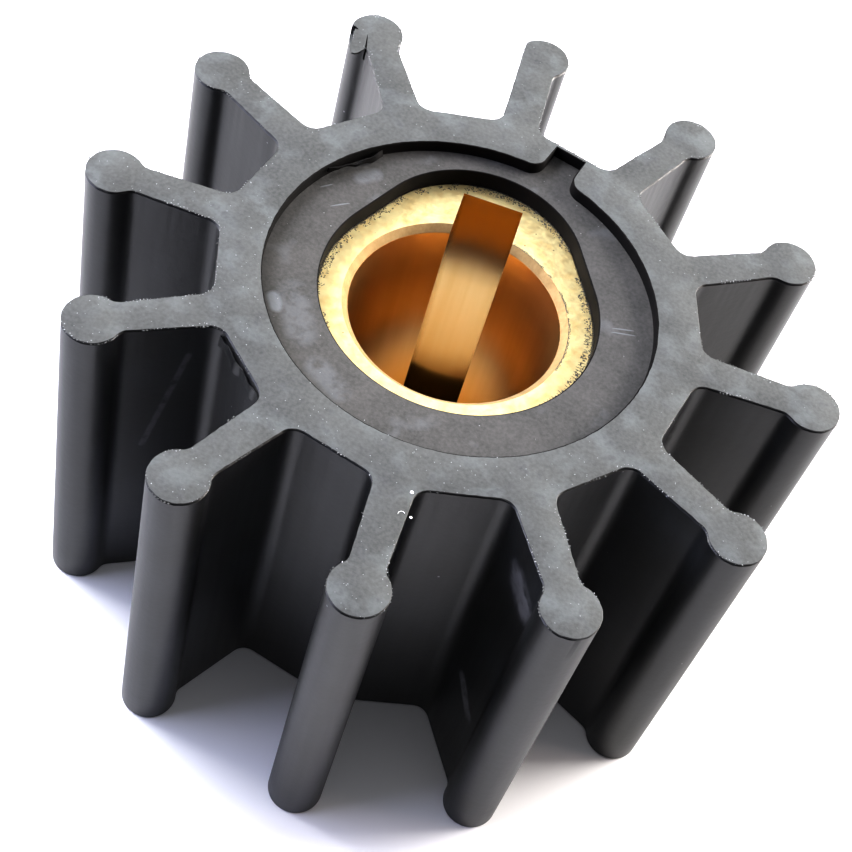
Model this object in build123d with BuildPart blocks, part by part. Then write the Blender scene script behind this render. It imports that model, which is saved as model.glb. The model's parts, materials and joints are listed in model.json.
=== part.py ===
from build123d import *
import os

# A flexible pump impeller: twelve rubber blades moulded in one piece with their hub,
# bonded round a keyed brass insert that slides on the pump shaft.
# Sizes are in millimetres. The origin lies on the shaft axis at the lower end face,
# +Z points to the end face with the notch, and the keyway points along +Y.

# Rubber body and blades
tip_diameter = 57.2
body_height = 31.1
blade_count = 12
bulb_diameter = 4.2
blade_root_width = 2.9
blade_neck_width = 2.36
neck_fillet = 1.0
root_fillet = 1.25
edge_break = 0.2

# Hub
hub_across_flats = 35.4
recess_diameter = 29.0
recess_depth = 1.0
notch_width = 2.5
notch_skin = 0.3
notch_mouth_round = 1.3

# Brass insert
bore_diameter = 15.88
bore_chamfer = 0.5
keyway_width = 4.76
keyway_depth = 3.66
bore_wall = 2.45
keyway_wall = 1.35
nose_diameter = 16.4
insert_length = 26.1
insert_setback = 2.5
lip_hole_diameter = 16.6

# Bulb with one side trimmed flat
trimmed_flank_angle = 1.6
trimmed_corner_round = 0.8

# Bulb with a torn side
crack_length = 2.0
crack_mouth_width = 0.4
crack_tip_offset = 0.85
crack_mouth_offset = 1.4
crack_depth = 1.2
flap_length = 2.3
flap_width = 1.2
flap_thickness = 0.45
flap_angle = 148
flap_inset = 1.1
flap_offset = 1.8

# Places that follow from the sizes
blade_pitch = 360 / blade_count
tip_radius = tip_diameter / 2
bulb_radius = bulb_diameter / 2
bulb_reach = tip_radius - bulb_radius
hub_apothem = hub_across_flats / 2
bore_radius = bore_diameter / 2
keyway_floor = bore_radius + keyway_depth
insert_radius = bore_radius + bore_wall
nose_radius = nose_diameter / 2
nose_reach = keyway_floor + keyway_wall - nose_radius
insert_bottom = body_height - insert_setback - insert_length
recess_floor = body_height - recess_depth
key_angle = 90
notch_angle = key_angle - blade_pitch / 2
notch_end = hub_apothem - notch_skin
torn_blade = key_angle + blade_pitch
torn_top = Plane.XY.offset(body_height).rotated((0, 0, torn_blade))
crack_tip = bulb_reach
crack_end = crack_tip - crack_length

os.makedirs("parts", exist_ok=True)


def reach(corner):
    """Distance of a section corner from the shaft axis."""
    return Vector(corner.X, corner.Y).length


def is_root(corner):
    """Whether a section corner lies where a blade leaves the hub."""
    return reach(corner) < hub_apothem + root_fillet


# Outline of the insert: round the bore, with a nose that carries the keyway.
# The window in the hub has the same outline, because the rubber is bonded to it.
with BuildSketch() as insert_outline:
    with BuildLine():
        CenterArc((0, 0), insert_radius, 0, 360)
        CenterArc((0, nose_reach), nose_radius, 0, 360)
    make_hull()

# Section of the rubber across the shaft: a hub with one flat between each two blades,
# and tapered blades that end in a round bulb
with BuildSketch() as rubber_section:
    RegularPolygon(hub_apothem, blade_count, major_radius=False)
    with PolarLocations(0, blade_count):
        Polygon(
            (0, blade_root_width / 2),
            (hub_apothem, blade_root_width / 2),
            (bulb_reach, blade_neck_width / 2),
            (bulb_reach, -blade_neck_width / 2),
            (hub_apothem, -blade_root_width / 2),
            (0, -blade_root_width / 2),
            align=None,
        )
    with PolarLocations(bulb_reach, blade_count):
        Circle(bulb_radius)
    necks = rubber_section.vertices().group_by(reach, tol_digits=3)[-1]
    fillet(necks, neck_fillet)

    # The blade in line with the keyway has lost the bulb's lobe on one side
    trimmed_flank = Location((hub_apothem, blade_root_width / 2), trimmed_flank_angle)
    with PolarLocations(0, 1, key_angle):
        with Locations(trimmed_flank):
            Rectangle(
                bulb_reach - hub_apothem,
                blade_root_width / 2,
                align=(Align.MIN, Align.MAX),
            )
            with Locations((bulb_reach - bulb_radius - hub_apothem, 0)):
                Rectangle(bulb_diameter, bulb_radius, align=Align.MIN, mode=Mode.SUBTRACT)
    fillet(rubber_section.vertices().sort_by(reach)[-1], trimmed_corner_round)

    roots = rubber_section.vertices().filter_by(is_root)
    fillet(roots, root_fillet)

with BuildPart() as rubber_body:
    add(rubber_section)
    extrude(amount=body_height)
    ends = rubber_body.faces().filter_by(Axis.Z)
    chamfer(ends.edges(), edge_break)

    # The upper recess runs out through one hub wall in a notch, up to a thin skin
    with BuildSketch(Plane.XY.offset(recess_floor)) as upper_recess:
        Circle(recess_diameter / 2)
        with PolarLocations(0, 1, notch_angle):
            Rectangle(notch_end, notch_width, align=(Align.MIN, Align.CENTER))
        notch_mouth = upper_recess.vertices().sort_by(reach)[:2]
        fillet(notch_mouth, notch_mouth_round)
    extrude(amount=recess_depth, mode=Mode.SUBTRACT)

    # The lower recess is plain
    with BuildSketch():
        Circle(recess_diameter / 2)
    extrude(amount=recess_depth, mode=Mode.SUBTRACT)

    # Window that holds the insert, and the round hole through the lip below it
    with BuildSketch(Plane.XY.offset(insert_bottom)):
        add(insert_outline)
    extrude(amount=body_height - insert_bottom, mode=Mode.SUBTRACT)
    Hole(lip_hole_diameter / 2)

    # Torn bulb: a flap of rubber split from the bulb by a crack that opens at the neck
    with BuildSketch(torn_top):
        with Locations((bulb_reach - flap_inset, flap_offset)):
            SlotOverall(flap_length, flap_width, rotation=flap_angle)
    extrude(amount=-flap_thickness)
    with BuildSketch(torn_top):
        Polygon(
            (crack_tip, crack_tip_offset),
            (crack_end, crack_mouth_offset + crack_mouth_width / 2),
            (crack_end, crack_mouth_offset - crack_mouth_width / 2),
            align=None,
        )
    extrude(amount=-crack_depth, mode=Mode.SUBTRACT)

with BuildPart() as brass_insert:
    with BuildSketch(Plane.XY.offset(insert_bottom)):
        add(insert_outline)
    extrude(amount=insert_length)
    Hole(bore_radius)
    mouths = brass_insert.edges(Select.LAST).filter_by(GeomType.CIRCLE)
    chamfer(mouths, bore_chamfer)

    # Keyway, cut through the whole length
    with BuildSketch(Plane.XY.offset(insert_bottom)):
        Rectangle(keyway_width, keyway_floor, align=(Align.CENTER, Align.MIN))
    extrude(amount=insert_length, mode=Mode.SUBTRACT)

rubber_body.part.label = "rubber_body"
export_step(rubber_body.part, "parts/rubber_body.step")
brass_insert.part.label = "brass_insert"
export_step(brass_insert.part, "parts/brass_insert.step")
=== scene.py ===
# %% [markdown]
# A rubber pump impeller, dressed for its picture.
#
# The real part is one black rubber moulding on a keyed brass bush. A pump maker moulds a
# long rubber star, grinds both ends flat and bores the brass. So this lesson makes three
# kinds of surface: moulded rubber on the sides, ground rubber on the ends, and cut brass.
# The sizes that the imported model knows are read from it, and the others are named here.

import json
import math

import bmesh
import bpy
import numpy as np
from mathutils import Matrix, Vector


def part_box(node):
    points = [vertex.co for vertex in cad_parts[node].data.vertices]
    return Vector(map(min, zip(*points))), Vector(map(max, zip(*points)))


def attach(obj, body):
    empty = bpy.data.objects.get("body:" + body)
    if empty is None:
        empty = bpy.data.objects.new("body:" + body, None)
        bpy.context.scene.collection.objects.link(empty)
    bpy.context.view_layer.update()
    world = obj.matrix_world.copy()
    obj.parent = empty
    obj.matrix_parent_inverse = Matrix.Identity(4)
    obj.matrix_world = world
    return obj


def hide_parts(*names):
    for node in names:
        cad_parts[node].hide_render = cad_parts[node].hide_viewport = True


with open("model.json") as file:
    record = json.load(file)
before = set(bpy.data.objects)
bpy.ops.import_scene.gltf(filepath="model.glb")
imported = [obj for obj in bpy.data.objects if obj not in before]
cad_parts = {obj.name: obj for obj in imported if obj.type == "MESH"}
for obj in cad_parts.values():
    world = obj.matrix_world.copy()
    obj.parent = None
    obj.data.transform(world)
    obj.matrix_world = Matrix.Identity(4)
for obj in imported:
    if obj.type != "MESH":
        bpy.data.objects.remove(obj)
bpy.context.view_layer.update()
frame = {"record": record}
scene = bpy.context.scene
mm = 0.001

rubber_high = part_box("rubber_body")[1]
brass_low, brass_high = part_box("brass_insert")

# %% [markdown]
# One helper adds a node to any tree, and another fills a node's inputs. An input is a value,
# a node or a socket, and a list makes several links into one socket, as Join Geometry wants.
# A third turns a colour that is written as an sRGB hex value into the linear light that
# shaders use, and the last puts an object in the scene.

# %% Helpers for nodes, colours and objects
def in_use(sockets, name):
    """The socket in use that has this name or identifier, or the first one in use."""
    return next(s for s in sockets if s.enabled and name in (s.name, s.identifier, ""))


def fill_in(tree, node, inputs):
    """Fills a node's inputs: by name from a dictionary, or in their order from a tuple."""
    if isinstance(inputs, dict):
        pairs = [(in_use(node.inputs, name), value) for name, value in inputs.items()]
    else:
        pairs = zip([socket for socket in node.inputs if socket.enabled], inputs)
    for socket, value in pairs:
        for item in value if isinstance(value, list) else [value]:
            if isinstance(item, bpy.types.Node):
                item = in_use(item.outputs, "")
            if isinstance(item, bpy.types.NodeSocket):
                tree.links.new(item, socket)
            else:
                socket.default_value = item


def add_node(tree, kind, inputs=(), **settings):
    """Adds one node, sets its properties and fills its inputs."""
    node = tree.nodes.new(kind)
    for name, value in settings.items():
        setattr(node, name, value)
    fill_in(tree, node, inputs)
    return node


def colour(hex_value):
    """Linear RGBA from an sRGB hex value such as "#1c1d20"."""
    parts = [int(hex_value[i:i + 2], 16) / 255 for i in (1, 3, 5)]
    linear = [p / 12.92 if p <= 0.04045 else ((p + 0.055) / 1.055) ** 2.4 for p in parts]
    return (*linear, 1.0)


def in_scene(name, data):
    """A new object in the scene."""
    made = bpy.data.objects.new(name, data)
    scene.collection.objects.link(made)
    return made


# %% [markdown]
# The photograph looks down on the keyed end from 53 degrees, with the camera rolled by
# 18 degrees. Its place was found by fitting the rims of the twelve bulbs, so the render
# lies over the photograph. A lens is given as if the film were 36 mm wide.

# %% Camera
image_width = 852
focal_pixels = 1719.5
camera_place = Vector((1.10, -82.59, 123.76)) * mm
camera_azimuth = math.radians(0.36)
camera_elevation = math.radians(53.0)
camera_roll = math.radians(18.49)

camera_data = bpy.data.cameras.new("photo_camera")
camera_data.sensor_width = 36
camera_data.lens = focal_pixels / image_width * camera_data.sensor_width
camera_data.clip_start = 0.01
camera = in_scene("photo_camera", camera_data)
camera.matrix_world = (
    Matrix.Translation(camera_place)
    @ Matrix.Rotation(camera_azimuth, 4, "Z")
    @ Matrix.Rotation(math.pi / 2 - camera_elevation, 4, "X")
    @ Matrix.Rotation(camera_roll, 4, "Z")
)
scene.camera = camera

# The photograph's tones are steeper than the plain view's, so the view's gamma is lowered.
scene.view_settings.view_transform = "Standard"
scene.view_settings.gamma = 0.8
print("lens in mm:", round(camera_data.lens, 2))

# %% [markdown]
# The outline of the rubber follows a rule: one sector of a twelfth of a turn holds a blade
# with its bulb and half a hub flat on either side. Half a sector is worked out here from
# straight runs and arcs, then spread into even steps. The blade in line with the keyway
# has lost one lobe of its bulb, so its half gets a straight flank and a rounded corner.

# %% Sizes of the rubber section, in millimetres
blade_count = 12
blade_pitch = 2 * math.pi / blade_count
tip_radius = rubber_high.x / mm
body_height = rubber_high.z / mm
bulb_radius = 2.1
bulb_reach = tip_radius - bulb_radius
blade_root_width = 2.9
blade_neck_width = 2.36
neck_round = 1.0
root_round = 1.25
hub_apothem = 17.7
trimmed_flank_angle = math.radians(1.6)
trimmed_corner_round = 0.8
recess_depth = 1.0
recess_floor = body_height - recess_depth
half_steps = 80


# %% Helpers for directions, arcs and even steps
def towards(angle):
    """The flat direction at this angle from the X axis."""
    return np.array((math.cos(angle), math.sin(angle)))


def heading(vector):
    """Angle of a flat vector from the X axis."""
    return math.atan2(vector[1], vector[0])


def left_of(vector):
    """A flat vector turned by a quarter to its left."""
    return np.array((-vector[1], vector[0]))


def arc(centre, radius, start, end, steps=48):
    """Points of an arc, from one angle to the other."""
    return [np.array(centre) + radius * towards(a) for a in np.linspace(start, end, steps)]


def corner(centre, radius, first, last, steps=48):
    """A rounded corner: the short arc from one direction to another."""
    start = heading(first)
    turn = (heading(last) - start + math.pi) % (2 * math.pi) - math.pi
    return arc(centre, radius, start, start + turn, steps)


def spread(points, count):
    """The same path in even steps."""
    points = np.array(points)
    runs = np.linalg.norm(np.diff(points, axis=0), axis=1)
    along = np.concatenate(([0], np.cumsum(runs)))
    even = np.linspace(0, along[-1], count)
    return np.column_stack([np.interp(even, along, points[:, axis]) for axis in (0, 1)])


# %% Half a sector, from the middle of a hub flat to the blade's tip
flat_normal = towards(blade_pitch / 2)
flank_foot = np.array((hub_apothem, blade_root_width / 2))
bulb_centre = np.array((bulb_reach, 0.0))


def half_sector(flank, rounding, side):
    """The round between flank and bulb is a neck with side 1, and a worn corner with side -1."""
    normal = left_of(flank)
    root = np.linalg.solve(
        [flat_normal, normal], [hub_apothem + root_round, normal @ flank_foot + root_round])
    start = flank_foot + side * rounding * normal - bulb_centre
    middle = start @ flank
    gap = (bulb_radius + side * rounding) ** 2 - (start @ start - middle ** 2)
    centre = bulb_centre + start - (middle + side * math.sqrt(gap)) * flank
    away = centre - bulb_centre
    return (
        [hub_apothem * flat_normal]
        + corner(root, root_round, -flat_normal, -normal)
        + corner(centre, rounding, -side * normal, -side * away)
        + arc(bulb_centre, bulb_radius, heading(away), 0)
    )


taper = np.array((bulb_reach, blade_neck_width / 2)) - flank_foot
whole_half = half_sector(taper / np.linalg.norm(taper), neck_round, 1)
trimmed_half = half_sector(towards(trimmed_flank_angle), trimmed_corner_round, -1)


def sector(upper_half):
    """A whole sector: the lower side is always whole, and the next sector starts at its end."""
    lower = spread(whole_half, half_steps) * (1, -1)
    upper = spread(upper_half, half_steps)[::-1]
    return np.concatenate((lower, upper[1:-1]))


whole_sector = sector(whole_half)
trimmed_sector = sector(trimmed_half)
print("points in a sector:", len(whole_sector))

# %% [markdown]
# A finish is written as a recipe: a first colour, and coats of other colours that show only
# where a pattern lets them. Clouds are soft patches of dust and wear, specks are grit, a
# smear is a mark along a line that a hand or a tool left, and a band paints light or shade
# onto the brass between two heights. The patterns read the object's own coordinates in
# millimetres, so they stay put from any side.

# %% Patterns
def grain(size):
    """Texture scale that gives a pattern this size, in millimetres."""
    return 1 / (size * mm)


def clouds(tree, place, size, low, high, most=1.0, detail=4.0, least=0.0):
    """Soft patches: least where the noise is below one level, up to most above the other."""
    noise = add_node(
        tree, "ShaderNodeTexNoise", {"Vector": place, "Scale": grain(size), "Detail": detail})
    return add_node(tree, "ShaderNodeMapRange", (noise, low, high, least, most))


def drawn_clouds(tree, place, *sizes):
    """Clouds that are drawn out into lines along the shaft axis."""
    stretched = add_node(
        tree, "ShaderNodeMapping", {"Vector": place, "Scale": (1.0, 1.0, 0.04)})
    return clouds(tree, stretched, *sizes)


def specks(tree, place, size, share, reach):
    """Round specks in some of the cells of a pattern; their reach is a part of a cell."""
    cells = add_node(tree, "ShaderNodeTexVoronoi", {"Vector": place, "Scale": grain(size)})
    dot = add_node(
        tree, "ShaderNodeMapRange", (cells.outputs["Distance"], reach, 0.6 * reach))
    lot = add_node(tree, "ShaderNodeSeparateColor", {"Color": cells.outputs["Color"]})
    chosen = add_node(tree, "ShaderNodeMath", (lot, share), operation="LESS_THAN")
    return add_node(tree, "ShaderNodeMath", (dot, chosen), operation="MULTIPLY")


def smear(tree, place, first, last, reach, most):
    """A torn, soft mark along a line between two points; it fades at its reach."""
    run = Vector(last) - Vector(first)
    from_first = add_node(
        tree, "ShaderNodeVectorMath", (place, Vector(first) * mm), operation="SUBTRACT")
    part = add_node(
        tree, "ShaderNodeVectorMath", (from_first, run / (run.length_squared * mm)),
        operation="DOT_PRODUCT").outputs["Value"]
    on_line = add_node(tree, "ShaderNodeVectorMath", {
        "Vector": run * mm, "Scale": add_node(tree, "ShaderNodeClamp", {"Value": part})},
        operation="SCALE")
    away = add_node(
        tree, "ShaderNodeVectorMath", (from_first, on_line),
        operation="DISTANCE").outputs["Value"]
    mark = add_node(tree, "ShaderNodeMapRange", (away, reach * mm, 0.5 * reach * mm))
    torn = clouds(tree, place, 0.9, 0.3, 0.52, most, 6.0)
    return add_node(tree, "ShaderNodeMath", (mark, torn), operation="MULTIPLY")


def painted_light_band(tree, place, first, last):
    """Painted light or shade: grows from nothing at one height to the full coat at the other."""
    height_of = add_node(tree, "ShaderNodeSeparateXYZ", {"Vector": place}).outputs["Z"]
    return add_node(tree, "ShaderNodeMapRange", (height_of, first * mm, last * mm))


# %% A finish from its recipe
def new_finish(name, first, coats, surface, relief=None):
    """A material. A coat is its colour, its pattern and the pattern's sizes; surface has the
    shader's other inputs, and a relief is its strength, its depth and its pattern."""
    material = bpy.data.materials.new(name)
    material.use_nodes = True
    tree = material.node_tree
    place = add_node(tree, "ShaderNodeTexCoord").outputs["Object"]
    shade = colour(first)
    for tint, pattern, *sizes in coats:
        shade = add_node(tree, "ShaderNodeMix", {
            "Factor": pattern(tree, place, *sizes), "A_Color": shade,
            "B_Color": colour(tint)}, data_type="RGBA")
    inputs = {"Base Color": shade}
    for label, value in surface.items():
        patterned = isinstance(value, tuple)
        inputs[label] = value[0](tree, place, *value[1:]) if patterned else value
    if relief:
        strength, depth, pattern, *sizes = relief
        inputs["Normal"] = add_node(tree, "ShaderNodeBump", {
            "Height": pattern(tree, place, *sizes), "Strength": strength,
            "Distance": depth * mm})
    fill_in(tree, tree.nodes["Principled BSDF"], inputs)
    return material


# %% [markdown]
# Moulded rubber: nitrile rubber takes the skin of a polished steel mould, so the sides of
# the blades are smooth, black and half glossy. A thin bluish bloom of dust lies on them,
# and faint marks run along the height, where the part was pulled out of the mould.

# %% Moulded rubber, with its smears, whose pale colour also paints the sheen of the glossy real ones: from, to, reach in millimetres and strength
side_smears_and_sheen = [
    ((9.8, -19.6, 27.1), (10.5, -20.9, 26.7), 1.7, 0.5),
    ((9.3, -18.7, 10.8), (10.5, -20.8, 9.4), 0.8, 0.5),
    ((-16.6, -11.1, 27.9), (-18.9, -12.4, 17.3), 0.32, 0.34)]
moulded = new_finish(
    "moulded nitrile rubber", "#0a0a0b", [
        ("#17191c", clouds, 5, 0.4, 0.75),
        *[("#66666b", smear, *mark) for mark in side_smears_and_sheen],
        ("#85888c", specks, 1.6, 0.08, 0.06)],
    {"IOR": 1.52, "Roughness": (drawn_clouds, 0.7, 0.3, 0.7, 0.45, 3.0, 0.4)},
    relief=(0.2, 0.05, clouds, 0.5, 0, 1, 1.0, 3.0))

# %% [markdown]
# Ground rubber: both ends are ground flat on a wheel, which leaves a mottled grey skin.
# Paler, slightly blue patches show where the wheel burnished it, and fine grit stays in.
# The real grain is finer than a pixel, so it is drawn at 0.28 mm, where it just shows.

# %% Ground rubber
ground = new_finish(
    "ground rubber end face", "#3c3e3d", [
        ("#4c4e4d", clouds, 5, 0.35, 0.65),
        ("#606566", clouds, 2.2, 0.5, 0.66, 0.6, 8.0),
        ("#333335", clouds, 1.1, 0.56, 0.7, 0.5, 6.0),
        ("#747577", clouds, 0.28, 0.3, 0.7, 0.24, 6.0),
        ("#7d7f81", specks, 0.4, 0.1, 0.13)],
    {"Roughness": 0.75}, relief=(0.25, 0.03, clouds, 0.28, 0.3, 0.7, 1.0, 6.0))

# %% [markdown]
# Recess rubber: the recess keeps the matte skin that a spark-eroded mould plate leaves. It
# is a warm, even grey with fine grain and a little chalk. Its walls are matte too, and get
# hardly any light in their slots, and their near-black, barely reflective rubber paints that
# shade in as well.

# %% Recess rubber, with its smudges: from, to, reach in millimetres and strength
recess_smudges = [
    ((-11.3, -4.6), (-9.7, -7.8), 1.4, 0.24), ((-12.5, -5.5), (-12.0, -6.3), 0.6, 0.6),
    ((-9.2, 8.9), (-10.0, 8.2), 0.8, 0.3), ((-7.8, -10.2), (-5.8, -11.6), 1.1, 0.25)]
recess = new_finish(
    "matte rubber recess floor", "#323231", [
        ("#403f3e", clouds, 3, 0.35, 0.7),
        ("#63666a", clouds, 3.4, 0.6, 0.74, 0.6, 6.0),
        *[("#7b8087", smear, (*first, recess_floor), (*last, recess_floor), *rest)
          for first, last, *rest in recess_smudges],
        ("#6a6867", clouds, 0.24, 0.3, 0.7, 0.26, 6.0),
        ("#757574", specks, 0.7, 0.06, 0.1)],
    {"Roughness": 0.7}, relief=(0.3, 0.03, clouds, 0.24, 0.3, 0.7, 1.0, 6.0))

# %% Painted shade: near-black, barely reflective rubber for the recess and window walls, the recess edge, the cuts and the curl
painted_shade_rubber = new_finish(
    "matte rubber recess wall", "#080707", [("#100d0d", clouds, 1.5, 0.4, 0.7)],
    {"Roughness": 0.8, "Specular IOR Level": 0.15})

# %% [markdown]
# Brass: the bush is turned and its end is faced after moulding, so the face is bright but
# mottled, with tarnish in its pits. The bore is reamed and the keyway broached: both have
# fine lines along the shaft axis. The real lines are too fine to show, so they are drawn
# coarser, at 0.18 mm. Brass keeps the usual metal shader, with its own colour.

# %% Faced brass
faced = new_finish(
    "faced brass", "#f5e6b2", [
        ("#e6ca8e", clouds, 0.9, 0.4, 0.72, 0.8, 8.0),
        ("#5a4a30", specks, 0.55, 0.16, 0.14)],
    {"Metallic": 1.0, "Roughness": (clouds, 0.35, 0.3, 0.7, 0.58, 4.0, 0.42)},
    relief=(0.15, 0.02, clouds, 0.35, 0.3, 0.7))


# %% Cut brass, for the bore, the keyway and the mouths
def cut_brass(name, bright, dull, smoothest, roughest, *painted_light_bands):
    """Brass with fine lines along the shaft axis; a band of painted light or shade is its tint, its
    start and its end.
    """
    return new_finish(
        name, bright, [
            (dull, drawn_clouds, 0.9, 0.4, 0.75),
            *[(tint, painted_light_band, first, last) for tint, first, last in painted_light_bands]],
        {"Metallic": 1.0,
         "Roughness": (drawn_clouds, 0.18, 0.3, 0.7, roughest, 3.0, smoothest)})


# The bore is painted a saturated orange towards its lower end, which stands in for light reflected
# between the brass walls, and a duller tone towards its upper end, which is painted shade.
reamed = cut_brass(
    "reamed brass bore", "#cfae74", "#c6a568", 0.34, 0.38, ("#f0a21c", 16, 7), ("#ba915d", 19, 29))
# The broach burnished the keyway's wall, so it is bright and mirrors what lies opposite. Its
# reflections are also painted in: a dull grey-brown towards its top and orange towards its lower end.
broached = cut_brass(
    "broached brass keyway", "#eacf96", "#e3c486", 0.13, 0.14,
    ("#c69038", 18, 5), ("#a68d6a", 19, 23))
# The mouths were turned with a dull tool, which left them rough and pale.
mouth_cut = cut_brass("turned brass mouth", "#b29c76", "#a28b66", 0.75, 0.85)

# %% Plain finishes
# Rubber ground to powder scatters all light, so it looks pale and has no gloss.
dust = new_finish("pale grinding dust", "#96989a", [], {"Roughness": 0.9})
# A scratch breaks the rubber's skin open, and the filler in it shows as a chalky grey.
chalk = new_finish("chalky scratch", "#65676a", [], {"Roughness": 0.85})
# Flash is so thin that the brass shines through it, which makes it look brown.
film_brown = new_finish("thin rubber flash", "#4e4a3e", [], {"Roughness": 0.7})
# The crumbs on the nearest blade are bits of white plastic with a slight gloss.
white = new_finish("white crumb", "#f2f2f0", [], {"Roughness": 0.6})
print("finishes:", [material.name for material in bpy.data.materials])

# %% [markdown]
# The moulding is made by Geometry Nodes, because its shape follows a rule. The tree copies
# the sector's points round the shaft with index arithmetic, sweeps a wall profile along
# each outline, and fills every open ring at its height.

# %% Helpers for curves and trees
def polyline(name, points, closed=False):
    """A curve object with straight runs through points that are given in millimetres."""
    curve = bpy.data.curves.new(name, "CURVE")
    curve.dimensions = "3D"
    spline = curve.splines.new("POLY")
    spline.points.add(len(points) - 1)
    for place, point in zip(spline.points, points):
        place.co = (point[0] * mm, point[1] * mm, 0, 1)
    spline.use_cyclic_u = closed
    return in_scene(name, curve)


def new_tree(name, inputs):
    """A Geometry Nodes tree with one mesh output and the named inputs."""
    tree = bpy.data.node_groups.new(name, "GeometryNodeTree")
    tree.interface.new_socket("Mesh", in_out="OUTPUT", socket_type="NodeSocketGeometry")
    for label, kind in inputs.items():
        tree.interface.new_socket(label, in_out="INPUT", socket_type="NodeSocket" + kind)
    return tree, add_node(tree, "NodeGroupInput").outputs


def patchy(spot, detail):
    """A noise whose patches have the size that the tree is given."""
    scale = add_node(tree, "ShaderNodeMath", (1.0, given["Patch Size"]), operation="DIVIDE")
    return add_node(tree, "ShaderNodeTexNoise", {"Vector": spot, "Detail": detail, "Scale": scale})


def keep_result(made):
    """Makes what an object's modifiers give its own plain mesh, and takes them off."""
    evaluated = made.evaluated_get(bpy.context.evaluated_depsgraph_get())
    mesh = bpy.data.meshes.new_from_object(evaluated)
    made.modifiers.clear()
    made.data = mesh


def run_tree(name, tree, values):
    """Runs a tree on an empty mesh and keeps the result as a plain mesh object."""
    made = in_scene(name, bpy.data.meshes.new(name))
    modifier = made.modifiers.new(name, "NODES")
    modifier.node_group = tree
    for socket in tree.interface.items_tree:
        if socket.in_out == "INPUT":
            modifier[socket.identifier] = values[socket.name]
    keep_result(made)
    print(name, "has", len(made.data.vertices), "points,", len(made.data.polygons), "faces")
    return made


# %% Sizes of the moulding's walls, in millimetres
recess_radius = 14.5
notch_width = 2.5
notch_end = 17.4
notch_angle = math.radians(75)
notch_mouth_round = 1.3
trimmed_blade = 3
torn_blade = 4
edge_round = 0.2
crisp_edge = 0.04
window_edge = 0.1
rim_height = 0.1
groove_depth = 0.07
groove_height = 0.14
recess_edge = 0.1
insert_radius = -brass_low.y / mm
nose_radius = 8.2
nose_reach = brass_high.y / mm - nose_radius
bore_radius = frame["record"]["mounts"][0]["dims"]["r_mm"]
lip_hole_radius = 8.3
lip_top = brass_low.z / mm


# %% Outlines of the recess, the lip and the window
def circle(radius):
    """A closed ring round the shaft axis."""
    return arc((0, 0), radius, 0, 2 * math.pi, 361)[:-1]


def recess_outline():
    """The recess circle, run out through the hub in a notch with rounded mouths."""
    along = towards(notch_angle)
    across = left_of(along)
    side = notch_width / 2 + notch_mouth_round
    mouth = math.sqrt((recess_radius + notch_mouth_round) ** 2 - side ** 2)
    left = mouth * along + side * across
    right = mouth * along - side * across
    ring = arc((0, 0), recess_radius, heading(left), heading(right) + 2 * math.pi, 400)
    right_mouth = corner(right, notch_mouth_round, -right, across, 16)
    left_mouth = corner(left, notch_mouth_round, -across, -left, 16)
    end = [notch_end * along + side * across for side in (-notch_width / 2, notch_width / 2)]
    return ring + right_mouth[1:] + end + left_mouth[:-1]


def insert_outline(grow=0.0):
    """Round the bore, with a nose that carries the keyway: two circles and their tangents."""
    lean = math.acos((insert_radius - nose_radius) / nose_reach)
    first, last = math.pi / 2 - lean, math.pi / 2 + lean
    nose = arc((0, nose_reach), nose_radius + grow, first, last, 120)
    back = arc((0, 0), insert_radius + grow, last, first + 2 * math.pi, 240)
    return nose + back


# %% Profiles of the walls from the lower end up; each point is a step outwards and a height
side_heights = np.linspace(edge_round, body_height - rim_height - groove_height, 12)
profiles = {
    "Outer Profile": (
        arc((-edge_round, edge_round), edge_round, -math.pi / 2, 0, 6)
        + [(0, height) for height in side_heights[1:]]
        + [(-groove_depth, body_height - rim_height - groove_height / 2)]
        + [(-groove_depth, body_height - rim_height)]
        + arc((-crisp_edge, body_height - crisp_edge), crisp_edge, 0, math.pi / 2, 4)),
    "Upper Profile": (
        [(0, recess_floor), (0, recess_floor + recess_depth / 2)]
        + arc((recess_edge, body_height - recess_edge), recess_edge, math.pi, math.pi / 2, 5)),
    "Window Profile": (
        [(0, lip_top)]
        + arc((window_edge, recess_floor - window_edge), window_edge, math.pi, math.pi / 2, 4)),
    "Lip Profile": (
        arc((window_edge, recess_depth + window_edge), window_edge, -math.pi / 2, -math.pi, 4)
        + [(0, lip_top)]),
    "Lower Profile": (
        arc((crisp_edge, crisp_edge), crisp_edge, -math.pi / 2, -math.pi, 4)
        + [(0, recess_depth)]),
}

# %% Curves that guide the tree: open runs of points, and closed rings
open_runs = {"Whole Sector": whole_sector, "Trimmed Sector": trimmed_sector, **profiles}
closed_rings = {
    "Recess Outline": recess_outline(), "Window Outline": insert_outline(),
    "Lip Outline": circle(lip_hole_radius), "Lower Recess Outline": circle(recess_radius),
}
guides = {name: polyline(name, points) for name, points in open_runs.items()}
guides |= {name: polyline(name, points, closed=True) for name, points in closed_rings.items()}
print("guides:", list(guides))

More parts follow.
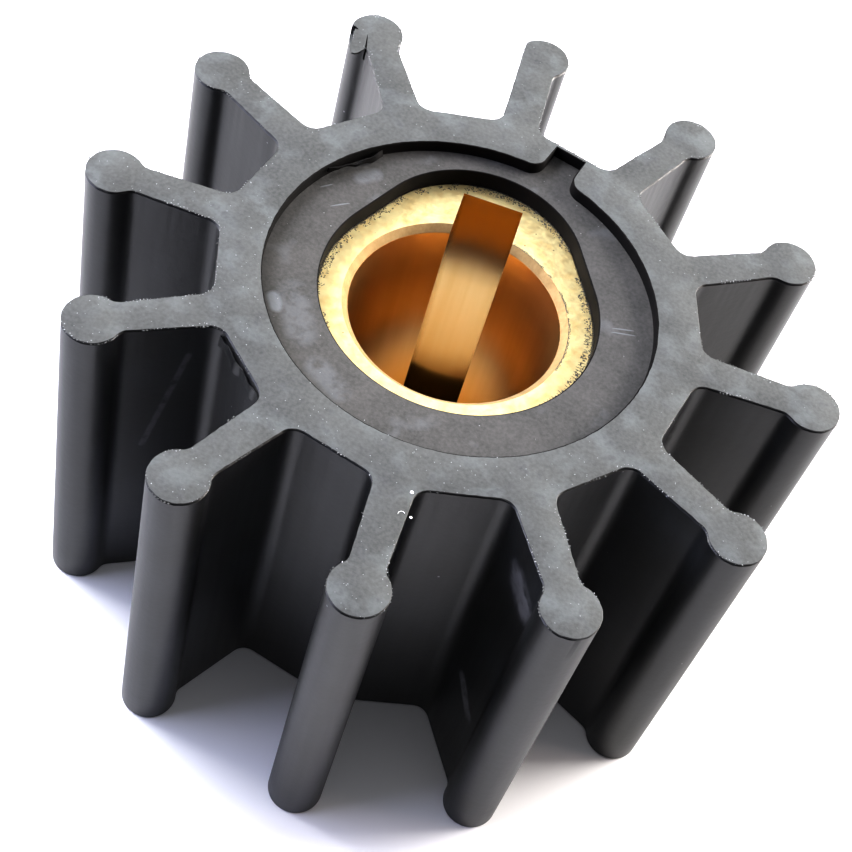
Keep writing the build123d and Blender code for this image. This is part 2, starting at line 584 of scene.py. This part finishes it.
# %% The tree: copy the sector round the shaft
skins = {"Side Material": moulded, "Inner Material": painted_shade_rubber, "Ground Material": ground,
         "Recess Material": recess}
tree, given = new_tree("impeller_moulding", {
    **dict.fromkeys(guides, "Object"), **dict.fromkeys(skins, "Material"), "Blades": "Int",
    "Points per Blade": "Int", "Trimmed Blade": "Int", "Height": "Float",
    "Recess Depth": "Float", "Lip Top": "Float", "Raggedness": "Float", "Patch Size": "Float",
})
curves = {
    name: add_node(tree, "GeometryNodeObjectInfo", {"Object": given[name]}).outputs["Geometry"]
    for name in guides
}
place = add_node(tree, "GeometryNodeInputPosition")
index = add_node(tree, "GeometryNodeInputIndex")
blade, step = [
    add_node(tree, "FunctionNodeIntegerMath", (index, given["Points per Blade"]), operation=operation)
    for operation in ("DIVIDE_FLOOR", "MODULO")
]
whole, trimmed = [
    add_node(tree, "GeometryNodeSampleIndex", {
        "Geometry": curves[name], "Value": place, "Index": step}, data_type="FLOAT_VECTOR")
    for name in ("Whole Sector", "Trimmed Sector")
]
is_trimmed = add_node(tree, "ShaderNodeMath", (blade, given["Trimmed Blade"], 0.5), operation="COMPARE")
point = add_node(tree, "GeometryNodeSwitch", {
    "Switch": is_trimmed, "False": whole, "True": trimmed}, input_type="VECTOR")
pitch = add_node(tree, "ShaderNodeMath", (2 * math.pi, given["Blades"]), operation="DIVIDE")
turn = add_node(tree, "ShaderNodeMath", (blade, pitch), operation="MULTIPLY")
turned = add_node(
    tree, "ShaderNodeVectorRotate", {"Vector": point, "Angle": turn}, rotation_type="Z_AXIS")
all_points = add_node(
    tree, "FunctionNodeIntegerMath", (given["Blades"], given["Points per Blade"]),
    operation="MULTIPLY")
ring = add_node(tree, "GeometryNodeCurvePrimitiveCircle", {"Resolution": all_points})
star = add_node(tree, "GeometryNodeSetPosition", {"Geometry": ring, "Position": turned})


# %% The tree: sweep the walls
def sweep(outline, profile, material):
    """Sweeps a profile along an outline. A sweep points the profile's Y down, so it is turned up."""
    upright = add_node(tree, "GeometryNodeSetCurveNormal", {"Curve": outline}, mode="Z_UP")
    turned_up = add_node(
        tree, "GeometryNodeTransform", {"Geometry": curves[profile], "Scale": (1.0, -1.0, 1.0)})
    made = add_node(tree, "GeometryNodeCurveToMesh", {"Curve": upright, "Profile Curve": turned_up})
    return add_node(tree, "GeometryNodeSetMaterial", {"Geometry": made, "Material": given[material]})


# The recess, window and lower recess walls and the rounded recess edge take the near-black rubber that
# paints their shade.
walls = add_node(tree, "GeometryNodeJoinGeometry", {"Geometry": [
    sweep(star, "Outer Profile", "Side Material"),
    sweep(curves["Recess Outline"], "Upper Profile", "Inner Material"),
    sweep(curves["Window Outline"], "Window Profile", "Inner Material"),
    sweep(curves["Lip Outline"], "Lip Profile", "Recess Material"),
    sweep(curves["Lower Recess Outline"], "Lower Profile", "Inner Material"),
]})

# %% The tree: fill the open rings at each height
height_of = add_node(tree, "ShaderNodeSeparateXYZ", {"Vector": place}).outputs["Z"]
faces_of = add_node(tree, "GeometryNodeInputMeshEdgeNeighbors")
is_open = add_node(tree, "ShaderNodeMath", (faces_of, 1.0, 0.5), operation="COMPARE")
upper_floor = add_node(
    tree, "ShaderNodeMath", (given["Height"], given["Recess Depth"]), operation="SUBTRACT")
same_height = 0.01 * mm
same_point = 0.002 * mm


def fill(height, material):
    """A sheet between the open rings that lie at this height."""
    at_height = add_node(tree, "ShaderNodeMath", (height_of, height, same_height), operation="COMPARE")
    chosen = add_node(tree, "ShaderNodeMath", (is_open, at_height), operation="MULTIPLY")
    rings = add_node(tree, "GeometryNodeMeshToCurve", {"Mesh": walls, "Selection": chosen})
    sheet = add_node(tree, "GeometryNodeFillCurve", {"Curve": rings})
    lift = add_node(tree, "ShaderNodeCombineXYZ", {"Z": height})
    lifted = add_node(tree, "GeometryNodeTransform", {"Geometry": sheet, "Translation": lift})
    return add_node(tree, "GeometryNodeSetMaterial", {"Geometry": lifted, "Material": given[material]})


shell = add_node(tree, "GeometryNodeJoinGeometry", {"Geometry": [
    walls,
    fill(given["Height"], "Ground Material"),
    fill(upper_floor, "Recess Material"),
    fill(given["Lip Top"], "Ground Material"),
    fill(given["Recess Depth"], "Recess Material"),
    fill(0.0, "Ground Material"),
]})
sewn = add_node(tree, "GeometryNodeMergeByDistance", {"Geometry": shell, "Distance": same_point})

# %% The tree: a ragged upper edge, where the grinding wheel tore the rubber
rim_band = (rim_height + groove_height) * mm
centred = add_node(
    tree, "ShaderNodeVectorMath", (patchy(place, 2.0).outputs["Color"], (0.5, 0.5, 0.5)),
    operation="SUBTRACT")
band_ends = [
    add_node(tree, "ShaderNodeMath", (given["Height"], depth), operation="SUBTRACT")
    for depth in (2 * rim_band, rim_band)
]
near_top = add_node(tree, "ShaderNodeMapRange", {
    "Value": height_of, "From Min": band_ends[0], "From Max": band_ends[1]})
pull = add_node(tree, "ShaderNodeMath", (near_top, given["Raggedness"]), operation="MULTIPLY")
push = add_node(tree, "ShaderNodeVectorMath", {"Vector": centred, "Scale": pull}, operation="SCALE")
level = add_node(tree, "ShaderNodeVectorMath", (push, (1.0, 1.0, 0.0)), operation="MULTIPLY")
ragged = add_node(tree, "GeometryNodeSetPosition", {"Geometry": sewn, "Offset": level})
smooth = add_node(tree, "GeometryNodeSetShadeSmooth", {"Geometry": ragged})
add_node(tree, "NodeGroupOutput", {
    "Mesh": add_node(tree, "GeometryNodeRealizeInstances", {"Geometry": smooth})})
print("impeller tree has", len(tree.nodes), "nodes")

# %% Run the tree
moulding = run_tree("rubber_moulding", tree, {
    **guides, **skins, "Blades": blade_count, "Points per Blade": len(whole_sector),
    "Trimmed Blade": trimmed_blade, "Height": body_height * mm,
    "Recess Depth": recess_depth * mm, "Lip Top": lip_top * mm,
    "Raggedness": 0.12 * mm, "Patch Size": 0.5 * mm,
})
for guide in guides.values():
    bpy.data.objects.remove(guide)


# %% Close a mesh and sharpen its edges
def finish_mesh(made, sharp_from=35):
    """Turns all faces outwards, keeps edges past an angle sharp, and tells if it is closed."""
    work = bmesh.new()
    work.from_mesh(made.data)
    bmesh.ops.recalc_face_normals(work, faces=work.faces)
    open_edges = sum(not edge.is_manifold for edge in work.edges)
    print(made.name, "open or shared edges:", open_edges,
          "volume in mm3:", round(work.calc_volume(signed=True) / mm ** 3, 1))
    work.to_mesh(made.data)
    work.free()
    made.data.shade_smooth()
    made.data.set_sharp_from_angle(angle=math.radians(sharp_from))
    return made


finish_mesh(moulding)

# %% Helpers to loft rings
def add_ring(work, outline, height):
    """A ring of mesh points at one height."""
    return [work.verts.new((x * mm, y * mm, height * mm)) for x, y in outline]


def join_rings(work, rings):
    """Faces between each two rings in turn; returns them."""
    faces = []
    for first, second in zip(rings, rings[1:]):
        for i in range(len(first)):
            corners = (first[i - 1], first[i], second[i], second[i - 1])
            faces.append(work.faces.new(corners))
    return faces


def sheet_between(work, *rings):
    """A flat sheet that fills the space between closed rings."""
    edges = [work.edges.get((ring[i - 1], ring[i])) for ring in rings for i in range(len(ring))]
    bmesh.ops.triangle_fill(work, edges=edges, use_beauty=True)


def object_from(work, name, *finishes):
    """Ends the work on a mesh: an object in the scene with these finishes."""
    made = in_scene(name, bpy.data.meshes.new(name))
    work.to_mesh(made.data)
    work.free()
    for finish in finishes:
        made.data.materials.append(finish)
    return made


# %% [markdown]
# One bulb is torn: a crack runs in from the neck, and the rubber beside it hangs out as a
# thin flap. Both are blocks with a listed outline, in millimetres along and across the
# blade. A Boolean modifier adds the flap and cuts the crack, so the moulding stays closed.

# %% Blocks that change the moulding
torn_turn = Matrix.Rotation(torn_blade * blade_pitch, 2)


def change_moulding(outline, depth, rise, operation, wall_finish):
    """Adds or cuts a block at the torn blade, from below the end face to above it."""
    work = bmesh.new()
    spots = [torn_turn @ Vector(spot) for spot in outline]
    rings = [add_ring(work, spots, body_height + step) for step in (-depth, rise)]
    join_rings(work, rings)
    caps = [work.faces.new(ring) for ring in rings]
    finishes = list(moulding.data.materials)
    for face in work.faces:
        face.material_index = finishes.index(ground if face in caps else wall_finish)
    bmesh.ops.recalc_face_normals(work, faces=work.faces)
    tool = object_from(work, "block", *finishes)
    modifier = moulding.modifiers.new(operation, "BOOLEAN")
    modifier.operation = operation
    modifier.solver = "MANIFOLD"
    modifier.object = tool
    keep_result(moulding)
    bpy.data.objects.remove(tool)


# %% The torn bulb: the flap that hangs out, what is missing beside it, and two cuts
# Each block has its depth below the end face and its rise above it, in millimetres.
torn_edge = [(27.02, 1.71), (26.76, 1.84), (26.47, 1.97), (26.21, 1.99)]
flap = [(27.45, 1.6), (27.35, 1.84), *torn_edge, (25.95, 2.1), (25.63, 2.29), (25.32, 2.53),
        (25.0, 2.68), (24.67, 2.68), (24.4, 2.61), (24.29, 2.4), (24.36, 2.1), (24.54, 1.82),
        (24.78, 1.4), (25.4, 0.9), (26.6, 0.5)]
missing = [(27.45, 1.7), *torn_edge, (26.2, 2.4), (27.6, 2.4)]
crack = [(26.38, 0.83), (25.77, 1.06), (25.2, 1.28), (24.85, 1.42), (24.63, 1.56), (24.45, 1.8),
         (24.28, 1.84), (24.15, 1.65), (24.12, 1.41), (24.35, 1.37), (24.74, 1.3), (25.44, 1.08),
         (26.02, 0.9)]
nick = [(27.55, 1.95), (27.3, 1.58), (27.0, 1.42), (26.95, 1.52), (27.12, 1.8), (27.3, 2.1)]
change_moulding(flap, 0.14, 0.004, "UNION", moulded)
change_moulding(missing, 0.9, 0.2, "DIFFERENCE", moulded)
# The crack and the nick get walls of the near-black rubber that paints their shade.
change_moulding(crack, 1.2, 0.2, "DIFFERENCE", painted_shade_rubber)
change_moulding(nick, 0.5, 0.2, "DIFFERENCE", painted_shade_rubber)
finish_mesh(moulding)

# %% [markdown]
# The brass bush is a loft: rings of points down the outside and rings down the bore, each
# with as many points as the one before, and a flat sheet at each end. The bore's ring has
# the keyway in it, so a chamfered mouth is only a ring with a larger bore.

# %% Sizes of the bush, in millimetres, and the bore with its keyway
keyway_half = 4.76 / 2
keyway_floor = 11.6
bush_bottom = brass_low.z / mm
bush_top = brass_high.z / mm
mouth_chamfer = 0.5
bush_edge = 0.1


def bore_outline(radius):
    """A ring round the bore, with the keyway in it."""
    shoulder = math.sqrt(radius ** 2 - keyway_half ** 2)
    left, right = (-keyway_half, shoulder), (keyway_half, shoulder)
    bore = arc((0, 0), radius, heading(left), heading(right) + 2 * math.pi, 240)
    heights = np.linspace(shoulder, keyway_floor, 6)
    right_wall = [(keyway_half, y) for y in heights[1:]]
    left_wall = [(-keyway_half, y) for y in heights[:0:-1]]
    return bore + right_wall + left_wall


# %% The bush
work = bmesh.new()
outside = [
    add_ring(work, insert_outline(-inset), height) for inset, height in
    [(bush_edge, bush_bottom), (0, bush_bottom + bush_edge),
     (0, bush_top - bush_edge), (bush_edge, bush_top)]
]
mouth = [(mouth_chamfer + 0.04, 0), (mouth_chamfer, 0.03), (0.03, mouth_chamfer),
         (0, mouth_chamfer + 0.05)]
stops = [(out, bush_bottom + down) for out, down in mouth]
stops += [(out, bush_top - down) for out, down in reversed(mouth)]
inside = [add_ring(work, bore_outline(bore_radius + out), height) for out, height in stops]
join_rings(work, outside)
finishes = (faced, reamed, broached, mouth_cut)
for face in join_rings(work, inside):
    middle = face.calc_center_median() / mm
    in_keyway = abs(middle.x) <= keyway_half and middle.y > bore_radius * 0.9
    in_mouth = min(middle.z - bush_bottom, bush_top - middle.z) < mouth_chamfer
    finish = broached if in_keyway else mouth_cut if in_mouth else reamed
    face.material_index = finishes.index(finish)
sheet_between(work, outside[0], inside[0])
sheet_between(work, outside[-1], inside[-1])
bush = finish_mesh(object_from(work, "brass_bush", *finishes))

# %% [markdown]
# Flash and burrs: where the rubber met the brass it left thin flash, torn off in flecks,
# and the grinding wheel left burrs along the rims. One Geometry Nodes tree scatters bits
# along an outline, thins them out in patches and turns each one to the edge.

# %% Parts that both scattering trees share
def chance(low, high, shift, kind="FLOAT"):
    """A random value for each point; the shift keeps the draws apart."""
    seed = add_node(tree, "FunctionNodeIntegerMath", (given["Seed"], shift), operation="ADD")
    return add_node(
        tree, "FunctionNodeRandomValue", {"Min": low, "Max": high, "Seed": seed}, data_type=kind)


def bits_on(points, turned):
    """A small angular bit of twenty faces on each point, made real."""
    ball = add_node(tree, "GeometryNodeMeshIcoSphere", {"Radius": 1.1, "Subdivisions": 1})
    placed = add_node(tree, "GeometryNodeInstanceOnPoints", {
        "Points": points, "Instance": ball, "Rotation": turned,
        "Scale": chance(given["Smallest"], given["Largest"], 5, "FLOAT_VECTOR")})
    real = add_node(tree, "GeometryNodeRealizeInstances", {"Geometry": placed})
    painted = add_node(
        tree, "GeometryNodeSetMaterial", {"Geometry": real, "Material": given["Material"]})
    add_node(tree, "NodeGroupOutput", {"Mesh": painted})


# %% The tree that scatters bits along an outline
bit_inputs = {"Seed": "Int", "Level": "Float", "Patch Size": "Float", "Smallest": "Vector",
              "Largest": "Vector", "Material": "Material"}
tree, given = new_tree("bits_along_an_edge", {
    **bit_inputs, "Outline": "Object", "Count": "Int", "Thinning": "Float", "Nearest": "Float",
    "Furthest": "Float", "Loose Turn": "Float",
})
outline = add_node(tree, "GeometryNodeObjectInfo", {"Object": given["Outline"]})
along_edge = add_node(tree, "GeometryNodeCurveToPoints", {
    "Curve": outline.outputs["Geometry"], "Count": given["Count"]}, mode="COUNT")
outward = add_node(
    tree, "ShaderNodeVectorMath", (along_edge.outputs["Tangent"], (0.0, 0.0, 1.0)),
    operation="CROSS_PRODUCT")
draw = chance(0.0, 1.0, 1)
reach = add_node(tree, "ShaderNodeMapRange", {
    "Value": add_node(tree, "ShaderNodeMath", (draw, draw), operation="MULTIPLY"),
    "To Min": given["Nearest"], "To Max": given["Furthest"]})
aside = add_node(tree, "ShaderNodeVectorMath", {"Vector": outward, "Scale": reach}, operation="SCALE")
raised = add_node(tree, "ShaderNodeCombineXYZ", {"Z": given["Level"]})
moved = add_node(tree, "GeometryNodeSetPosition", {
    "Geometry": along_edge.outputs["Points"],
    "Offset": add_node(tree, "ShaderNodeVectorMath", (aside, raised), operation="ADD")})
patches = patchy(add_node(tree, "GeometryNodeInputPosition"), 1.0)
bare = add_node(tree, "ShaderNodeMath", (patches, given["Thinning"]), operation="LESS_THAN")
thinned = add_node(
    tree, "GeometryNodeDeleteGeometry", {"Geometry": moved, "Selection": bare}, domain="POINT")
facing = add_node(tree, "FunctionNodeAlignRotationToVector", {"Vector": outward}, axis="X")
back = add_node(tree, "ShaderNodeMath", (given["Loose Turn"], -1.0), operation="MULTIPLY")
any_turn = add_node(tree, "ShaderNodeCombineXYZ", {"Z": chance(back, given["Loose Turn"], 2)})
bits_on(thinned, add_node(tree, "FunctionNodeRotateRotation", {
    "Rotation": facing, "Rotate By": any_turn}))
edge_tree = tree
print("edge tree has", len(tree.nodes), "nodes")

# %% Flash, hatch marks and burrs, in millimetres
star_outline = np.concatenate([
    (trimmed_sector if number == trimmed_blade else whole_sector)
    @ np.array(Matrix.Rotation(number * blade_pitch, 2)).T
    for number in range(blade_count)])


def edge_bits(name, outline, closed, count, seed, thinning, patch, nearest, furthest, level,
              loose_turn, smallest, largest, finish):
    """Scatters bits along an outline, from the nearest to the furthest step outwards."""
    guide = polyline(name + "_outline", outline, closed)
    made = run_tree(name, edge_tree, {
        "Outline": guide, "Count": count, "Seed": seed, "Thinning": thinning,
        "Patch Size": patch * mm, "Nearest": nearest * mm, "Furthest": furthest * mm,
        "Level": level * mm, "Loose Turn": loose_turn, "Material": finish,
        "Smallest": [size * mm for size in smallest], "Largest": [size * mm for size in largest]})
    bpy.data.objects.remove(guide)
    return finish_mesh(made)


hatch_arc = arc((0, 0), insert_radius - 0.3, math.radians(-40), math.radians(10))
score_arc = arc((0, 0), bore_radius + mouth_chamfer + 0.06, math.radians(-16), math.radians(73))
edge_pieces = [edge_bits(*row) for row in [
    ("rubber_flash", insert_outline(), True, 2600, 3, 0.45, 1.4, 0.03, -0.65, bush_top,
     math.pi, (0.015, 0.015, 0.006), (0.12, 0.07, 0.02), film_brown),
    ("hatched_flash", hatch_arc, False, 34, 5, 0.3, 3, -0.2, 0.0, bush_top,
     0.2, (0.12, 0.02, 0.008), (0.32, 0.035, 0.015), film_brown),
    ("scored_line", score_arc, False, 600, 6, 0.36, 2.2, -0.02, 0.12, bush_top,
     0.3, (0.012, 0.03, 0.004), (0.025, 0.11, 0.008), film_brown),
    ("rim_burrs", star_outline, True, 1500, 7, 0.55, 2.5, 0.07, -0.12, body_height - 0.04,
     math.pi, (0.02, 0.02, 0.015), (0.12, 0.07, 0.04), ground),
    ("rim_dust", star_outline, True, 1500, 8, 0.55, 3, 0.03, -0.3, body_height,
     math.pi, (0.012, 0.01, 0.008), (0.08, 0.045, 0.02), dust),
]]

# %% [markdown]
# Grinding dust: pale crumbs lie on the ground end, most of them on the left blades, and a
# few in the recess. A second tree scatters them over the faces that point up. They are so
# flat that the part keeps its height.

# %% The tree that scatters crumbs over a face
tree, given = new_tree("crumbs_on_a_face", {
    **bit_inputs, "Body": "Object", "Per Area": "Float", "Dusty Side": "Vector",
    "Dusty Reach": "Float", "Cleanest": "Float",
})
place = add_node(tree, "GeometryNodeInputPosition")
height_of = add_node(tree, "ShaderNodeSeparateXYZ", {"Vector": place}).outputs["Z"]
at_level = add_node(
    tree, "ShaderNodeMath", (height_of, given["Level"], same_height), operation="COMPARE")
normal = add_node(tree, "GeometryNodeInputNormal")
up = add_node(tree, "ShaderNodeSeparateXYZ", {"Vector": normal}).outputs["Z"]
lies_flat = add_node(tree, "ShaderNodeMath", (up, 0.99), operation="GREATER_THAN")
facing_up = add_node(tree, "ShaderNodeMath", (at_level, lies_flat), operation="MULTIPLY")
side = add_node(
    tree, "ShaderNodeVectorMath", (place, given["Dusty Side"]),
    operation="DOT_PRODUCT").outputs["Value"]
clean_from = add_node(tree, "ShaderNodeMath", (given["Dusty Reach"], -0.3), operation="MULTIPLY")
dusty = add_node(tree, "ShaderNodeMapRange", {
    "Value": side, "From Min": clean_from, "From Max": given["Dusty Reach"],
    "To Min": given["Cleanest"]})
in_patch = add_node(tree, "ShaderNodeMapRange", {
    "Value": patchy(place, 2.0), "From Min": 0.42, "From Max": 0.62, "To Min": 0.1})
share = add_node(tree, "ShaderNodeMath", (dusty, in_patch), operation="MULTIPLY")
density = add_node(tree, "ShaderNodeMath", (share, given["Per Area"]), operation="MULTIPLY")
body = add_node(tree, "GeometryNodeObjectInfo", {"Object": given["Body"]})
crumbs = add_node(tree, "GeometryNodeDistributePointsOnFaces", {
    "Mesh": body.outputs["Geometry"], "Selection": facing_up, "Density": density,
    "Seed": given["Seed"]}, distribute_method="RANDOM")
bits_on(crumbs.outputs["Points"], add_node(
    tree, "ShaderNodeCombineXYZ", {"Z": chance(0.0, 2 * math.pi, 2)}))
crumb_tree = tree
print("crumb tree has", len(tree.nodes), "nodes")


# %% Dust on the end face and in the recess
def crumbs_over(name, seed, level, per_area, cleanest):
    """Crumbs over the faces at this height; per_area is a count for each square millimetre."""
    return finish_mesh(run_tree(name, crumb_tree, {
        "Body": moulding, "Seed": seed, "Level": level * mm, "Per Area": per_area / mm ** 2,
        "Dusty Side": (-0.6, -0.8, 0.0), "Dusty Reach": 24 * mm, "Cleanest": cleanest,
        "Patch Size": 4 * mm, "Material": dust,
        "Smallest": [size * mm for size in (0.015, 0.012, 0.006)],
        "Largest": [size * mm for size in (0.06, 0.04, 0.02)]}))


end_dust = crumbs_over("end_dust", 11, body_height, 1.8, 0.12)
recess_dust = crumbs_over("recess_dust", 12, recess_floor, 0.3, 0.5)

# %% [markdown]
# Thin rubber: a curl of flash stands along the recess wall, and a wrinkled film hangs from
# the rim of one hub flat. Each is a ribbon: a thin upright section carried along a path,
# with a lean and a wave that follow plain sine rules.

# %% Ribbons
def ribbon(name, path, height, thickness, finish):
    """A closed strip along a path; each stop is its place, its outward side and its lean."""
    work = bmesh.new()
    rings = []
    for spot, outside, lean in path:
        upper = Vector(spot)
        lower = upper - height * Vector((*(-math.sin(lean) * outside), math.cos(lean)))
        half = thickness / 2 * Vector((*outside, 0.0))
        corners = (upper + half, upper - half, lower - half, lower + half)
        rings.append([work.verts.new(spot * mm) for spot in corners])
    join_rings(work, rings)
    work.faces.new(rings[0])
    work.faces.new(rings[-1])
    return finish_mesh(object_from(work, name, finish), sharp_from=60)


# %% The curl in the recess
curl_path = []
for along in np.linspace(0, 1, 40):
    outside = towards(math.radians(150 - 20 * along))
    radius = recess_radius - 0.12 - 0.6 * math.sin(math.pi * along) - 0.05 * math.sin(17 * along)
    level = body_height - 0.12 - 0.25 * along + 0.05 * math.sin(23 * along)
    curl_path.append(((*(radius * outside), level), outside, 0.5 * math.sin(5 * along)))
# The curl takes the near-black rubber that paints shade.
curl = ribbon("recess_curl", curl_path, 0.45, 0.09, painted_shade_rubber)

# %% The torn film below one hub flat
film_out = towards(math.radians(-135))
film_across = left_of(film_out)
film_half = 2.9
film_path = []
for along in np.linspace(0, 1, 120):
    wave = 0.09 * math.sin(19 * along) + 0.05 * math.sin(43 * along + 1) * math.sin(5 * along)
    away = hub_apothem + 0.08 + 0.06 * math.sin(9 * along + 2) ** 2
    spot = away * film_out + film_half * (1 - 2 * along) * film_across
    lean = 0.07 * math.sin(13 * along) + 0.05 * math.sin(31 * along + 2)
    film_path.append(((*spot, body_height - 0.7 + wave), film_out, lean))
film = ribbon("torn_film", film_path, 1.1, 0.06, moulded)

# %% [markdown]
# Marks of handling: a curl and two crumbs of white plastic lie on the blade nearest the
# camera, and two pairs of scratches cross the recess floor. The crumbs and the scratches
# are balls pressed nearly flat, so they are real pieces and yet hardly rise from the face.

# %% The white curl, in millimetres
curl_middle = np.array((1.02, -20.22))
curl_radius = 0.24
white_path = []
for angle in np.linspace(math.radians(40), math.radians(190), 16):
    spot = curl_middle + curl_radius * towards(angle)
    white_path.append(((*spot, body_height + 0.03), towards(angle), 0.0))
white_curl = ribbon("white_curl", white_path, 0.04, 0.025, white)


# %% Crumbs and scratches, each as its middle, its turn and its three radii
def pressed_in(name, level, marks, finish):
    """Balls pressed flat into the face at this height."""
    work = bmesh.new()
    for middle, degrees, radii in marks:
        place = Matrix.Translation((middle[0] * mm, middle[1] * mm, level * mm))
        turn = Matrix.Rotation(math.radians(degrees), 4, "Z")
        size = Matrix.Diagonal((*[radius * mm for radius in radii], 1))
        bmesh.ops.create_icosphere(work, subdivisions=3, radius=1, matrix=place @ turn @ size)
    return finish_mesh(object_from(work, name, finish))


loose = pressed_in("loose_crumbs", body_height, [
    ((1.2, -18.3), 0, (0.13, 0.13, 0.05)), ((1.66, -20.2), 0, (0.1, 0.1, 0.05))], white)
scratched = pressed_in("recess_scratches", recess_floor, [
    ((-12.2, 6.25), 42, (0.55, 0.07, 0.012)), ((-10.7, 4.87), 36, (0.8, 0.07, 0.012)),
    ((12.0, 2.15), 15, (0.85, 0.07, 0.012)), ((12.1, 1.75), 13, (0.95, 0.07, 0.012))], chalk)

# %% [markdown]
# The part stands on a plain white floor under soft light. Two wide panels behind it and
# above it are the main light, so the ground ends shine and the sides that face the camera
# stay dark, as in the picture. Weaker panels give the sides a warm and a cool edge.

# %% Floor
floor_half = 1500 * mm
work = bmesh.new()
bmesh.ops.create_grid(work, x_segments=1, y_segments=1, size=floor_half)
# White card scatters light evenly, so it shows soft shadows and no mirror image.
card = new_finish("matte white card", "#f2f2f4", [], {"Roughness": 0.9})
object_from(work, "floor", card)


# %% Lights: soft panels, each with its place in millimetres, its power and its tint
def aim(light, place, target):
    """Hangs a light at a place and turns it to its target."""
    made = in_scene(light.name, light)
    made.location = place
    made.rotation_euler = (target - place).to_track_quat("-Z", "Y").to_euler()


panel_size = 330 * mm
panel_target = Vector((0, 0, 10)) * mm
for name, panel_place, power, tint in [
    ("back_right_light", (380, 290, 170), 9.4, "#fffdf8"),
    ("back_left_light", (-400, 180, 290), 7.2, "#fcfcff"),
    ("right_light", (480, 160, 200), 1.8, "#ffe8dc"),
    ("left_light", (-430, -120, 280), 2.4, "#d6dcff"),
    ("top_light", (0, 0, 530), 0.6, "#ffffff"),
]:
    panel = bpy.data.lights.new(name, "AREA")
    panel.size = panel_size
    panel.energy = power
    panel.color = colour(tint)[:3]
    aim(panel, Vector(panel_place) * mm, panel_target)

# %% A narrow lamp that lights the floor under the bore, which the keyway mirrors
bore_lamp = bpy.data.lights.new("bore_lamp", "SPOT")
lamp_place = Vector((14, 30, 330)) * mm
lamp_target = Vector((0, 0, brass_high.z))
bore_lamp.energy = 3.5
bore_lamp.shadow_soft_size = 2 * mm
bore_lamp.spot_size = 2 * math.atan(bore_radius * mm / (lamp_place - lamp_target).length)
bore_lamp.spot_blend = 0.2
aim(bore_lamp, lamp_place, lamp_target)
print("lights:", [light.name for light in bpy.data.lights])

# %% A white room that darkens towards the camera
scene.world = bpy.data.worlds.new("white_room")
scene.world.use_nodes = True
tree = scene.world.node_tree
direction = add_node(tree, "ShaderNodeTexCoord").outputs["Generated"]
upward = add_node(
    tree, "ShaderNodeVectorMath", (direction, (-0.15, 0.59, 0.79)),
    operation="DOT_PRODUCT").outputs["Value"]
strength = add_node(tree, "ShaderNodeMapRange", {
    "Value": upward, "From Min": 0.5, "From Max": 0.98, "To Min": 0.12, "To Max": 0.84})
tint = add_node(tree, "ShaderNodeMix", {
    "Factor": strength, "A_Color": colour("#d6d8ec"), "B_Color": colour("#ffffff")},
    data_type="RGBA")
fill_in(tree, tree.nodes["Background"], {"Color": tint, "Strength": strength})

# %% Ride on the frame
for piece in (moulding, *edge_pieces, end_dust, recess_dust, curl, film, scratched, white_curl,
              loose):
    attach(piece, "root")
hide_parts("rubber_body")
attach(bush, "root")
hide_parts("brass_insert")
